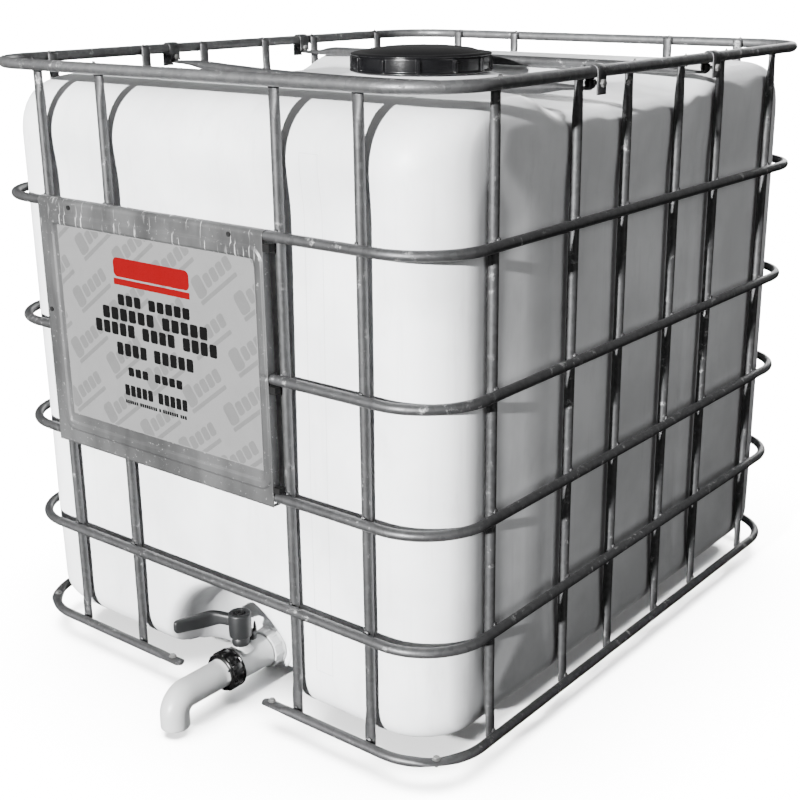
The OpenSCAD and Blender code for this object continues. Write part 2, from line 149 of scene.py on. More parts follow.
def lugged(base, height, flat, foot, first=0):
    """A radius that rises by height on each lug, from foot to flat degrees either side of its middle."""
    def radius(a):
        away = abs((math.degrees(a) - first + LUG_STEP / 2) % LUG_STEP - LUG_STEP / 2)
        return base + height * (1 - smoothstep(flat, foot, away))
    return radius


def lug_angles(edges, first=0):
    """Angles round a lugged ring, close together at the edges of its lugs."""
    offsets = [-e for e in reversed(edges)] + [0] + list(edges)
    return [math.radians(first + LUG_STEP * k + o) for k in range(360 // LUG_STEP) for o in offsets]


def oval_rings(path, sizes, side, segments, square=1.0):
    """Rings of points along a path. Each size is a half width along side and a half height, in mm.

    A square below 1 makes the rings boxier.
    """
    verts = []
    for i, p in enumerate(path):
        before, after = path[max(i - 1, 0)], path[min(i + 1, len(path) - 1)]
        ahead = (Vector(after) - Vector(before)).normalized()
        across = (Vector(side) - ahead * ahead.dot(Vector(side))).normalized()
        up = ahead.cross(across)
        w, h = sizes[i][0] * MM, sizes[i][1] * MM
        for a in even_angles(segments):
            c, t = math.cos(a), math.sin(a)
            verts.append(Vector(p) + across * w * math.copysign(abs(c) ** square, c)
                         + up * h * math.copysign(abs(t) ** square, t))
    return verts


def oval_sweep(name, path, sizes, side, material, body="container", segments=28, square=1.0):
    """A solid bar along a path."""
    verts = oval_rings(path, sizes, side, segments, square)
    return add_mesh(name, verts, capped_faces(len(path), segments), material, body)


def hollow_sweep(name, path, outer, inner, side, material, body, segments=48):
    """An open tube along a path, with an outer and an inner radius in mm at each point."""
    out = oval_rings(path, [(r, r) for r in outer], side, segments)
    back = oval_rings(path, [(r, r) for r in inner], side, segments)
    rows = [out[i * segments:(i + 1) * segments] for i in range(len(path))]
    rows += [back[i * segments:(i + 1) * segments] for i in reversed(range(len(path)))]
    faces = grid_faces(len(rows), segments, closed_rows=True)
    return add_mesh(name, [p for row in rows for p in row], faces, material, body)


class Pile:
    """Points and faces of several shapes that make one piece."""

    def __init__(self):
        self.verts, self.faces = [], []

    def add(self, verts, faces):
        base = len(self.verts)
        self.verts += [tuple(v) for v in verts]
        self.faces += [tuple(base + k for k in face) for face in faces]

    def block(self, low, high):
        corners = [(x, y, z) for x in (low[0], high[0]) for y in (low[1], high[1]) for z in (low[2], high[2])]
        self.add(corners, [(0, 1, 3, 2), (4, 6, 7, 5), (0, 4, 5, 1),
                           (2, 3, 7, 6), (0, 2, 6, 4), (1, 5, 7, 3)])

    def prism(self, at, radius, low, high, sides, turn=0.0):
        """An upright prism with a small chamfer at both ends."""
        chamfer = 0.6 * MM
        rows = ((radius * 0.9, low), (radius, low + chamfer), (radius, high - chamfer), (radius * 0.9, high))
        angles = [a + turn for a in even_angles(sides)]
        self.add([(at.x + r * math.cos(a), at.y + r * math.sin(a), z) for r, z in rows for a in angles],
                 capped_faces(len(rows), sides))

    def piece(self, name, material, smooth=False):
        return add_mesh(name, self.verts, self.faces, material, smooth=smooth)


def spaced(*stops):
    """Grid lines from (position, step) pairs in mm; each step holds until the next position."""
    lines = []
    for (start, step), (end, _) in zip(stops, stops[1:]):
        count = max(1, round((end - start) / step))
        lines += [(start + (end - start) * k / count) * MM for k in range(count)]
    return lines + [stops[-1][0] * MM]


def rounded_outline(half_x, half_y, radius, steps, last_radius=None):
    """Points round a rectangle about the origin. Its last corner, at +x and -y, may have its own radius."""
    points = []
    for quarter, (side_x, side_y) in enumerate(((1, 1), (-1, 1), (-1, -1), (1, -1))):
        r = last_radius if last_radius and quarter == 3 else radius
        for k in range(steps + 1):
            a = math.pi / 2 * (quarter + k / steps)
            points.append((side_x * (half_x - r) + r * math.cos(a), side_y * (half_y - r) + r * math.sin(a)))
    return points


def islands(mesh, apart):
    """The middle of each separate solid in a mesh whose solids stand further apart than that."""
    groups = []
    for vertex in mesh.vertices:
        near = [group for group in groups if (group[0] - vertex.co).length < apart]
        if not near:
            near = [[]]
            groups += near
        near[0].append(vertex.co.copy())
    return [(Vector(map(min, *group)) + Vector(map(max, *group))) / 2 for group in groups]


# ---------- materials ----------


class NodeTree:
    """Short calls for the nodes of a material or of the world."""

    def __init__(self, owner):
        owner.use_nodes = True
        self.nodes = owner.node_tree.nodes
        self.links = owner.node_tree.links

    def node(self, kind, inputs=(), **settings):
        made = self.nodes.new(kind)
        for key, value in settings.items():
            setattr(made, key, value)
        for key, value in dict(inputs).items():
            if isinstance(value, bpy.types.NodeSocket):
                self.links.new(value, made.inputs[key])
            else:
                made.inputs[key].default_value = value
        return made

    def remap(self, value, low, high, to_low=0.0, to_high=1.0):
        made = self.node("ShaderNodeMapRange", {"Value": value, "From Min": low, "From Max": high,
                                                "To Min": to_low, "To Max": to_high})
        return made.outputs[0]


class Shader(NodeTree):
    """A node material with one Principled shader and object coordinates."""

    def __init__(self, name, color, roughness, **sockets):
        self.material = bpy.data.materials.new(name)
        super().__init__(self.material)
        self.bsdf = self.nodes["Principled BSDF"]
        self.bsdf.inputs["Base Color"].default_value = (*color, 1)
        self.bsdf.inputs["Roughness"].default_value = roughness
        for key, value in sockets.items():
            self.bsdf.inputs[key.replace("_", " ")].default_value = value
        self.coords = self.node("ShaderNodeTexCoord").outputs["Object"]

    def noise(self, scale, detail=4, stretch=(1, 1, 1), roughness=0.55):
        mapped = self.node("ShaderNodeMapping", {"Vector": self.coords, "Scale": stretch}).outputs[0]
        made = self.node("ShaderNodeTexNoise", {"Vector": mapped, "Scale": scale, "Detail": detail,
                                                "Roughness": roughness})
        return made.outputs["Fac"]

    def cells(self, scale):
        made = self.node("ShaderNodeTexVoronoi", {"Vector": self.coords, "Scale": scale})
        return self.node("ShaderNodeSeparateColor", {"Color": made.outputs["Color"]}).outputs[0]

    def math(self, operation, a, b=0.0):
        return self.node("ShaderNodeMath", {0: a, 1: b}, operation=operation).outputs[0]

    def mix(self, factor, a, b):
        made = self.node("ShaderNodeMix", {"Factor": factor}, data_type="RGBA")
        for socket, value in ((made.inputs[6], a), (made.inputs[7], b)):
            if isinstance(value, bpy.types.NodeSocket):
                self.links.new(value, socket)
            else:
                socket.default_value = (*value, 1)
        return made.outputs[2]

    def color(self, socket):
        self.links.new(socket, self.bsdf.inputs["Base Color"])

    def roughness(self, socket):
        self.links.new(socket, self.bsdf.inputs["Roughness"])

    def bump(self, height, distance, strength=1.0):
        made = self.node("ShaderNodeBump", {"Height": height, "Distance": distance, "Strength": strength})
        self.links.new(made.outputs[0], self.bsdf.inputs["Normal"])

    def xyz(self):
        return self.node("ShaderNodeSeparateXYZ", {"Vector": self.coords}).outputs

    def product(self, first, *others):
        for other in others:
            first = self.math("MULTIPLY", first, other)
        return first

    def box_mask(self, a, a_range, b, b_range, inset=0.0):
        """1 where coordinate a and coordinate b are both inside their ranges, drawn in by inset."""
        parts = []
        for value, (low, high) in ((a, a_range), (b, b_range)):
            parts.append(self.math("GREATER_THAN", value, low + inset))
            parts.append(self.math("LESS_THAN", value, high - inset))
        return self.product(*parts)


def galvanised(name, base, worn):
    """Dull zinc with spangle, a cloudy tone and scuffs."""
    s = Shader(name, base, 0.48, Metallic=0.68)
    spangle = s.cells(120)
    cloud = s.noise(9, 6)
    scuff = s.remap(s.noise(60, 8, roughness=0.7), 0.57, 0.66)
    patch = s.remap(s.noise(7, 3), 0.50, 0.60)
    tone = s.mix(s.remap(s.math("ADD", spangle, cloud), 0.4, 1.5), [c * 0.72 for c in base], base)
    s.color(s.mix(s.product(scuff, patch), tone, worn))
    s.roughness(s.remap(s.math("ADD", s.noise(240, 3), cloud), 0.6, 1.4, 0.40, 0.56))
    s.bump(s.math("ADD", s.noise(180, 5), scuff), 0.0006, 0.5)
    return s.material


def sheet_metal():
    """Weathered sheet: grey, with stains and pale scratches that run down from its top edge."""
    base = (0.075, 0.0755, 0.076)
    s = Shader("plate_sheet", base, 0.45, Metallic=0.45)
    stain = s.remap(s.noise(16, 7, stretch=(1, 1, 0.4)), 0.35, 0.65)
    streak = s.remap(s.noise(230, 2, stretch=(1, 0.2, 0.06)), 0.635, 0.69)
    near_top = s.remap(s.xyz()[2], 0.79, 0.80)
    speck = s.remap(s.noise(150, 6, roughness=0.7), 0.62, 0.67)
    tone = s.mix(stain, [c * 0.72 for c in base], [c * 1.12 for c in base])
    pale = s.math("MAXIMUM", s.product(streak, near_top), s.product(speck, 0.5))
    s.color(s.mix(pale, tone, (0.45, 0.45, 0.45)))
    s.roughness(s.remap(stain, 0, 1, 0.36, 0.55))
    s.bump(s.noise(40, 6), 0.001, 0.4)
    return s.material


def moulded(name, color, roughness, mottling=0.06, grain=900, **sockets):
    """Moulded plastic: a little mottling, a fine grain, handling marks."""
    s = Shader(name, color, roughness, **sockets)
    cloud = s.noise(14, 6)
    s.color(s.mix(s.remap(cloud, 0.3, 0.7), [c * (1 - mottling) for c in color], color))
    s.roughness(s.remap(s.noise(50, 5), 0.3, 0.7, roughness * 0.85, min(1.0, roughness * 1.2)))
    s.bump(s.noise(grain, 3), 0.0002, 0.25)
    return s.material


def bottle_plastic():
    """Satin natural polyethylene, cloudy and a little wavy, with smudges and drips, painted shade low on the
    side walls and in the valve's recess, and a level strip whose outline carries a line of painted shade.
    """
    color = (0.80, 0.81, 0.82)
    s = Shader("bottle_plastic", color, 0.42)
    cloud = s.noise(3.5, 5)
    smudge = s.remap(s.noise(22, 8, stretch=(1, 1, 0.35), roughness=0.7), 0.55, 0.72)
    drips = s.remap(s.noise(70, 4, stretch=(1, 1, 0.05), roughness=0.6), 0.56, 0.72)
    tone = s.mix(s.remap(cloud, 0.38, 0.62), [c * 0.78 for c in color], color)
    marks = s.math("ADD", s.product(smudge, 0.3), s.product(drips, 0.18))
    x, y, z = s.xyz()
    # painted shade that deepens towards the foot of both side walls
    low = s.product(s.remap(z, 0.62, 0.10), s.remap(s.math("ABSOLUTE", x), 0.452, 0.463))
    wall_foot_shade = s.product(low, s.remap(s.noise(5, 5), 0.3, 0.6, 0.5, 1.0))
    s.roughness(s.remap(s.noise(30, 5), 0.3, 0.7, 0.34, 0.52))
    # the moulded outline of the level strip, on the front wall only: a bump, and a thin darker line of
    # painted shade in its crease
    strip_x, strip_z = (0.222, 0.258), (0.13, 0.955)
    wide = s.box_mask(x, strip_x, z, strip_z)
    narrow = s.box_mask(x, strip_x, z, strip_z, inset=1.6 * MM)
    strip = s.product(s.math("SUBTRACT", wide, narrow), s.math("LESS_THAN", y, -0.5))
    marks = s.math("ADD", marks, s.product(strip, 0.5))
    tone = s.mix(s.product(wall_foot_shade, 0.75), s.mix(marks, tone, (0.45, 0.455, 0.46)), (0.24, 0.245, 0.25))
    # painted shade in the left half of the recess round the valve
    inside = s.product(s.remap(y, -0.562, -0.545), s.math("LESS_THAN", y, -0.4))
    corner = s.product(s.remap(z, 0.235, 0.20), s.remap(x, 0.03, -0.09))
    recess_shade = s.product(inside, corner, s.math("GREATER_THAN", x, -0.19))
    s.color(s.mix(s.product(recess_shade, 0.85), tone, (0.17, 0.172, 0.175)))
    s.bump(s.math("ADD", s.noise(9, 3), s.product(strip, 0.25)), 0.002, 0.35)
    return s.material


def rubber(name):
    s = Shader(name, (0.004, 0.004, 0.004), 0.8, Specular_IOR_Level=0.15)
    s.bump(s.noise(700, 3), 0.0002, 0.4)
    s.color(s.mix(s.noise(60, 4), (0.003, 0.003, 0.003), (0.006, 0.006, 0.006)))
    return s.material


ZINC = galvanised("zinc_tube", (0.070, 0.0705, 0.072), (0.30, 0.30, 0.30))
RAIL_ZINC = galvanised("zinc_rail", (0.125, 0.126, 0.128), (0.40, 0.40, 0.40))
SCREW_ZINC = galvanised("zinc_screw", (0.22, 0.22, 0.215), (0.5, 0.5, 0.5))
PLATE = sheet_metal()
LABEL = moulded("label_face", (0.115, 0.115, 0.115), 0.6, 0.03)
PRINT_PALE = moulded("print_pale", (0.076, 0.076, 0.076), 0.6, 0.03)
PRINT_DARK = moulded("print_dark_ink", (0.002, 0.002, 0.002), 0.8, 0.1, Specular_IOR_Level=0.05)
PRINT_RED = moulded("print_red_ink", (0.11, 0.0003, 0.0015), 0.8, 0.08, Specular_IOR_Level=0.05)
DARK_RIVET = galvanised("dark_rivet", (0.02, 0.02, 0.02), (0.1, 0.1, 0.1))
POLY = bottle_plastic()
WHITE_MOULDED = moulded("white_moulded", (0.42, 0.425, 0.425), 0.42)
GREY_MOULDED = moulded("grey_moulded", (0.014, 0.0145, 0.015), 0.4, 0.2, Specular_IOR_Level=0.3)
BLACK_GLOSS = moulded("black_gloss", (0.0035, 0.0035, 0.004), 0.2, 0.3, 500, Specular_IOR_Level=0.35)
BLACK_NUT = moulded("black_nut", (0.0025, 0.0025, 0.0025), 0.26, 0.3, 500, Specular_IOR_Level=0.3)
BLACK_RUBBER_AND_NOTCH_SHADE = rubber("black_rubber_and_notch_shade")

# ---------- camera, light and floor ----------

CAMERA_AT = (1.5088, -1.9224, 1.2032)
CAMERA_AZIMUTH = math.radians(37.974)
CAMERA_PITCH = math.radians(18.264)
CAMERA_ROLL = math.radians(-0.327)
SENSOR_WIDTH, FOCAL_LENGTH = 36, 58.914
CAMERA_SHIFT = (-0.0335, -0.002375)
SUN_HEIGHT = math.radians(15)


def make_camera():
    data = bpy.data.cameras.new("camera")
    data.sensor_width = SENSOR_WIDTH
    data.lens = FOCAL_LENGTH
    data.shift_x, data.shift_y = CAMERA_SHIFT
    camera = bpy.data.objects.new("camera", data)
    turn = Matrix.Rotation(CAMERA_AZIMUTH, 4, "Z") @ Matrix.Rotation(math.pi / 2 - CAMERA_PITCH, 4, "X")
    camera.matrix_world = Matrix.Translation(CAMERA_AT) @ turn @ Matrix.Rotation(CAMERA_ROLL, 4, "Z")
    bpy.context.scene.collection.objects.link(camera)
    bpy.context.scene.camera = camera


def make_sun(name, toward, strength, spread):
    """Light that travels toward a direction. The spread is the sun's width in degrees: wide is soft."""
    data = bpy.data.lights.new(name, "SUN")
    data.energy = strength
    data.angle = math.radians(spread)
    sun = bpy.data.objects.new(name, data)
    sun.rotation_mode = "QUATERNION"
    sun.rotation_quaternion = Vector(toward).to_track_quat("-Z", "Y")
    bpy.context.scene.collection.objects.link(sun)
    return sun


def hide_from(obj, *rays):
    for kind in rays:
        setattr(obj, "visible_" + kind, False)


def make_floor():
    """A plain pale floor that throws no light back on the object."""
    s = Shader("floor", (0.9, 0.9, 0.9), 0.9)
    s.color(s.mix(s.noise(2, 3), (0.89, 0.89, 0.89), (0.91, 0.91, 0.91)))
    size = 300
    floor = add_mesh("floor", [(-size, -size, 0), (size, -size, 0), (size, size, 0), (-size, size, 0)],
                     [(0, 1, 2, 3)], s.material, body=None)
    hide_from(floor, "diffuse", "shadow", "glossy")
    return floor


def make_backdrop():
    """A plain white wall all round, far away, that only the camera sees."""
    material = bpy.data.materials.new("backdrop")
    tree = NodeTree(material)
    glow = tree.node("ShaderNodeEmission", {"Strength": 17})
    tree.links.new(glow.outputs[0], tree.nodes["Material Output"].inputs["Surface"])
    radius, low, high = 60, -0.5, 24
    angles = even_angles(64)
    verts = [(radius * math.cos(a), radius * math.sin(a), z) for z in (low, high) for a in angles]
    wall = add_mesh("backdrop", verts, grid_faces(2, len(angles)), material, body=None)
    hide_from(wall, "diffuse", "glossy", "transmission", "shadow")


def make_world():
    """A soft sky, bright above and dark under the horizon."""
    world = bpy.data.worlds.new("world")
    bpy.context.scene.world = world
    tree = NodeTree(world)
    direction = tree.node("ShaderNodeTexCoord").outputs["Generated"]
    height = tree.node("ShaderNodeSeparateXYZ", {0: direction}).outputs["Z"]
    sky = tree.node("ShaderNodeValToRGB", {0: tree.remap(height, -1, 1)})
    for stop, position, grey in zip(sky.color_ramp.elements, (0.44, 0.56), (0.03, 0.55)):
        stop.position, stop.color = position, (grey, grey, grey, 1)
    background = tree.nodes["Background"]
    tree.links.new(sky.outputs[0], background.inputs["Color"])
    background.inputs["Strength"].default_value = 0.28


def light_only(light, objects):
    """The light reaches only these objects."""
    group = bpy.data.collections.new(light.name + "_reaches")
    for obj in objects:
        group.objects.link(obj)
    light.light_linking.receiver_collection = group


make_camera()
make_world()
floor = make_floor()
make_backdrop()
make_sun("key", (-0.045, math.cos(SUN_HEIGHT), -math.sin(SUN_HEIGHT)), 20, 1.2)
light_only(make_sun("floor_light", (0, 0, -1), 60, 60), [floor])
make_sun("side_fill", (-1, 0.05, -0.38), 0.68, 35)
back_fill = make_sun("back_fill", (0.3, -1, -0.22), 1.8, 25)
make_sun("sky_fill", (0, 0.05, -1), 0.3, 30)
make_sun("floor_bounce", (-0.6, 0.05, 1), 0.4, 70)

# ---------- steel cage ----------

POSTS = [n for n in NODES if "_post_" in n]
RAILS = [n for n in NODES if n.startswith(("top_rail", "ring_"))] + ["bottom_rail"]
CLAMPS = ["clamp_front_left", "clamp_front_right", "clamp_rear_left", "clamp_rear_right"]
TUBE_RADIUS = 8 * MM


def paint_nodes(names, material):
    for name in names:
        mesh = NODES[name].data
        mesh.materials.clear()
        mesh.materials.append(material)


def blob(at, size, flat_axis, rng):
    """An uneven drop of weld metal, as points and faces."""
    rows, columns = 7, 10
    points = []
    phase = rng.random() * 6
    for i in range(rows):
        polar = math.pi * (i + 0.5) / rows
        for a in even_angles(columns):
            swell = 1 + 0.22 * math.sin(3 * a + phase) + 0.15 * math.sin(5 * polar + phase)
            p = Vector((math.sin(polar) * math.cos(a), math.sin(polar) * math.sin(a), math.cos(polar)))
            p *= size * swell
            p[flat_axis] *= 0.45
            points.append(Vector(at) + p)
    return points, capped_faces(rows, columns)


def outer_face(post):
    """The axis that a post's depth lies along, the outward direction on it, and where its face is."""
    low, high = node_box(post)
    depth = 0 if post.startswith(("left", "right")) else 1
    outward = -1 if low[depth] + high[depth] < 0 else 1
    return depth, outward, (low if outward < 0 else high)[depth]


def weld_crossings():
    """A bead of weld above and below every place where a post meets a ring or rail."""
    rng = random.Random(7)
    pile = Pile()
    for post in POSTS:
        depth, outward, face = outer_face(post)
        for rail in RAILS:
            low, high = node_box(rail)
            for side in (-1, 1):
                at = centre(post)
                at[depth] = face + outward * 1 * MM
                at.z = (low.z + high.z) / 2 + side * 0.72 * (high.z - low.z) / 2
                at[1 - depth] += rng.uniform(-2, 2) * MM
                pile.add(*blob(at, rng.uniform(3.4, 4.8) * MM, depth, rng))
    pile.piece("weld_beads", ZINC, smooth=True)


def make_post(name):
    """A post, round in the middle, its two ends pressed flat and wide."""
    low, high = node_box(name)
    depth, outward, face = outer_face(name)
    side = Vector((0, 1, 0)) if depth == 0 else Vector((1, 0, 0))
    flat, gone = 26 * MM, 66 * MM
    heights = [0, 1.2, 3, 8, 20, 26, 30, 34, 38, 42, 46, 50, 55, 60, 66]
    levels = [low.z + h * MM for h in heights] + [high.z - h * MM for h in reversed(heights)]
    path, sizes = [], []
    for z in levels:
        from_end = min(z - low.z, high.z - z)
        pressed = 1 - smoothstep(flat, gone, from_end)
        rim = 0.7 + 0.3 * smoothstep(0, 2.5 * MM, from_end)
        behind = 5.2 * MM if z < 0.5 else 7.2 * MM  # from the post's face to the middle of its pressed end
        at = (low + high) / 2
        at[depth] = face - outward * (TUBE_RADIUS + (behind - TUBE_RADIUS) * pressed)
        at.z = z
        path.append(at)
        sizes.append(((8 + 1.9 * pressed) * (0.9 + 0.1 * rim), (8 - 2.8 * pressed) * rim))
    post = oval_sweep("pressed_" + name, path, sizes, side, ZINC, segments=24)
    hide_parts(name)


def make_bottom_rail():
    """The bottom tube, with a gap under the valve, pressed flat at both ends and both front corners."""
    low, high = node_box("bottom_rail")
    bend = 110 * MM
    front = low.y + TUBE_RADIUS
    left, right = low.x + TUBE_RADIUS + bend, high.x - TUBE_RADIUS - bend
    near, far = front + bend, high.y - TUBE_RADIUS - bend
    z = (low.z + high.z) / 2
    gap_left, gap_right, end_length = -73 * MM, 128 * MM, 58 * MM
    end_steps = [0, 1, 2.5, 5, 9, 14, 20, 26, 32, 38, 44, 50]

    def straight(a, b):
        count = max(2, round((b - a).length / (12 * MM)))
        return [a.lerp(b, k / count) for k in range(count + 1)]

    points = [Vector((gap_left - step * MM, front, z)) for step in end_steps]
    here = Vector((gap_left - end_length, front, z))
    for x, y, start in ((left, near, 270), (left, far, 180), (right, far, 90), (right, near, 0)):
        angles = [math.radians(start - 90 * k / 16) for k in range(17)]
        arc = [Vector((x + bend * math.cos(a), y + bend * math.sin(a), z)) for a in angles]
        points += straight(here, arc[0]) + arc[1:-1]
        here = arc[-1]
    points += straight(here, Vector((gap_right + end_length, front, z)))
    points += [Vector((gap_right + step * MM, front, z)) for step in reversed(end_steps)]
    press = [Vector((x * MM, -552 * MM, z)) for x in (-452, 452)]
    sizes = []
    for p in points:
        end = min(abs(p.x - gap_left), abs(p.x - gap_right)) if p.y < front + 1 * MM else 1
        flat = 1 - smoothstep(30 * MM, 56 * MM, end)
        flat = max(flat, *(1 - smoothstep(11 * MM, 34 * MM, (p - at).length) for at in press))
        rim = 0.55 + 0.45 * smoothstep(0, 4 * MM, end)
        sizes.append((8 - 4.5 * flat, (8 + 2.6 * flat) * rim))
    rail = oval_sweep("bent_bottom_rail", points, sizes, (0, 0, 1), ZINC, segments=24)
    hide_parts("bottom_rail")


def crisp(names, width):
    """Small rounded edges and clean shading on CAD pieces of sheet and hardware. The width is in mm."""
    for name in names:
        modifier(NODES[name], "WELD", merge_threshold=0.01 * MM)
        modifier(NODES[name], "BEVEL", width=width * MM, segments=2, limit_method="ANGLE",
                 angle_limit=math.radians(35), harden_normals=True)
        for polygon in NODES[name].data.polygons:
            polygon.use_smooth = True


def make_bar(node, middle_z, rise):
    """A cross bar, bowed up by rise at its ends, which are pressed flat and turned up into the clamps."""
    left, right = (centre("clamp_%s_%s" % (node.split("_")[0], hand)) for hand in ("left", "right"))
    reach, bow, flat_z = 455 * MM, 450 * MM, 1030 * MM
    ends = ((486.5, 1043.5, 8.5, 2.2), (486.5, 1041.5, 10, 2.5), (486.5, 1035.5, 10, 2.5),
            (485.3, 1032.4, 10, 2.6), (482, 1030.4, 10, 2.9), (474, 1030, 10.5, 3), (464, 1030, 10.5, 3.4))
    stations = [(-x * MM, z * MM, w, h) for x, z, w, h in ends]
    count = 46
    for k in range(count + 1):
        x = bow * (2 * k / count - 1)
        along = abs(x) / bow
        pressed = smoothstep(0.86, 1.0, along)
        z = middle_z + rise * along ** 2.2
        z += (flat_z - z) * pressed
        stations.append((x, z, 9 + 1.4 * pressed, 9 - 4.9 * pressed))
    stations += [(x * MM, z * MM, w, h) for x, z, w, h in reversed(ends)]
    slant = (right.y - left.y) / (2 * reach)
    path = [Vector((x, left.y + slant * (x + reach), z)) for x, z, w, h in stations]
    sizes = [(w, h) for x, z, w, h in stations]
    bar = oval_sweep("bowed_" + node, path, sizes, (0, 1, 0), ZINC, segments=26)
    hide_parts(node)


def make_rail_screws():
    """A hexagon head on a washer above each flattened rail end, and a nut under it."""
    low, high = (corner.z for corner in node_box("rail_screws"))
    seat, washer = high - 4.5 * MM, 1.2 * MM
    pile = Pile()
    for k, at in enumerate(islands(NODES["rail_screws"].data, 60 * MM)):
        turn = 0.35 + 0.8 * k
        pile.prism(at, 6.8 * MM, seat, seat + washer, 28)
        pile.prism(at, 5.4 * MM, seat + washer, high, 6, turn)
        pile.prism(at, 3 * MM, low + 7 * MM, seat, 16)
        pile.prism(at, 5.2 * MM, low + 10.5 * MM, low + 14 * MM, 6, turn + 0.4)
    obj = pile.piece("rail_fasteners", SCREW_ZINC)
    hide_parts("rail_screws")


paint_nodes(RAILS + CLAMPS, ZINC)
paint_nodes(["top_rail"], RAIL_ZINC)
for post_name in POSTS:
    make_post(post_name)
make_bottom_rail()
make_bar("front_bar", 1016.6 * MM, 13 * MM)
make_bar("rear_bar", 1034 * MM, 0)
crisp(CLAMPS, 0.5)
crisp(["clamp_bolts"], 0.35)
make_rail_screws()
weld_crossings()
paint_nodes(["clamp_bolts"], SCREW_ZINC)
paint_nodes(["handle_screw", "plate_rivets"], DARK_RIVET)
paint_nodes(["label_panel"], LABEL)
# the plate pads are black blocks that stand in for the deep shade seen through the notches round the rings;
# the seals are black rubber
paint_nodes(["plate_pads", "cap_seal", "outlet_gasket", "stem_orings", "spout_seal"], BLACK_RUBBER_AND_NOTCH_SHADE)
paint_nodes(["valve_stem"], GREY_MOULDED)
paint_nodes(["valve_disc"], WHITE_MOULDED)

# ---------- label plate ----------

PLATE_LO, PLATE_HI = node_box("label_plate")
LABEL_LO, LABEL_HI = node_box("label_panel")
RING_Z = [centre("ring_%d" % k).z for k in (1, 2, 3)]  # from the top ring down
PLATE_THICK = 1 * MM
PLATE_MID_Y = PLATE_LO.y + PLATE_THICK / 2
# the pressed rim's two edges, as x and z ranges
RIM_OUTER = ((-325 * MM, 177 * MM), (438 * MM, 819 * MM))
RIM_INNER = ((-312 * MM, 163.5 * MM), (451 * MM, 803 * MM))


def inside_distance(x, z, box, radius):
    """How far a point lies inside an upright rounded rectangle, below 0 outside it."""
    (x0, x1), (z0, z1) = box
    dx = abs(x - (x0 + x1) / 2) - ((x1 - x0) / 2 - radius)
    dz = abs(z - (z0 + z1) / 2) - ((z1 - z0) / 2 - radius)
    return radius - math.hypot(max(dx, 0), max(dz, 0)) - min(max(dx, dz), 0)


def plate_relief(x, z):
    """How far the sheet is pressed forward: a rounded rim with one break, and small dents."""
    outer = smoothstep(0, 3 * MM, inside_distance(x, z, RIM_OUTER, 26 * MM))
    inner = 1 - smoothstep(0, 3 * MM, inside_distance(x, z, RIM_INNER, 12 * MM))
    broken = math.exp(-((z - 622 * MM) / (3 * MM)) ** 2) if x > 0.15 else 0
    dent = 0.5 * noise.noise(Vector((x * 22, 0.3, z * 22)))
    return (2.2 * outer * inner * (1 - 0.85 * broken) + 0.25 * dent) * MM


def make_plate():
    """The pressed sheet, hooked over the first ring, with short flanges down both sides."""
    columns = spaced((-345, 1.6), (-305, 12), (156, 1.3), (178, 1))
    rows = spaced((413, 3), (434, 1.4), (456, 12), (612, 1.5), (632, 12), (798, 1.4), (835, 1))
    hook = 8.7 * MM
    hook_y = PLATE_MID_Y + hook
    turns = [math.radians(8 * k) for k in range(1, 16)]
    verts = [(x, PLATE_MID_Y - plate_relief(x, z), z) for z in rows for x in columns]
    verts += [(x, hook_y - hook * math.cos(a), RING_Z[0] + hook * math.sin(a))
              for a in turns for x in columns]
    faces = grid_faces(len(rows) + len(turns), len(columns), closed_columns=False)
    plate = add_mesh("pressed_plate", verts, faces, PLATE)
    modifier(plate, "SOLIDIFY", thickness=PLATE_THICK, offset=0)
    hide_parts("label_plate")
    flanges = Pile()
    clear = 8.6 * MM
    spans = ((PLATE_LO.z + 1 * MM, RING_Z[2] - clear), (RING_Z[2] + clear, RING_Z[1] - clear),
             (RING_Z[1] + clear, RING_Z[0] - 11 * MM))
    for x in (PLATE_LO.x, PLATE_HI.x - PLATE_THICK):
        for low, high in spans:
            flanges.block((x, PLATE_MID_Y, low), (x + PLATE_THICK, PLATE_MID_Y + 14.5 * MM, high))
    flanges.piece("plate_flanges", PLATE)


def slab(pile, corners, y, thick=0.12 * MM):
    """A thin printed shape from its corners (x, z), standing just proud of the label."""
    count = len(corners)
    points = [(x, y, z) for x, z in corners] + [(x, y - thick, z) for x, z in corners]
    faces = [tuple(range(count)), tuple(range(2 * count - 1, count - 1, -1))]
    faces += [(k, (k + 1) % count, count + (k + 1) % count, count + k) for k in range(count)]
    pile.add(points, faces)


def rounded_block(x0, z0, x1, z1, radius):
    """Corners (x, z) of an upright rectangle with rounded corners."""
    outline = rounded_outline((x1 - x0) / 2, (z1 - z0) / 2, radius, 4)
    return [((x0 + x1) / 2 + x, (z0 + z1) / 2 + z) for x, z in outline]


def row_of_blocks(pile, x0, x1, z0, z1, words, y):
    """A row of dark blocks in groups, standing in for a line of print."""
    gap = 0.75
    cell = (x1 - x0) / (sum(words) + gap * (len(words) - 1))
    x = x0
    for count in words:
        for _ in range(count):
            slab(pile, rounded_block(x * MM, z0 * MM, (x + cell * 0.8) * MM, z1 * MM, 0.16 * cell * MM), y)
            x += cell
        x += gap * cell


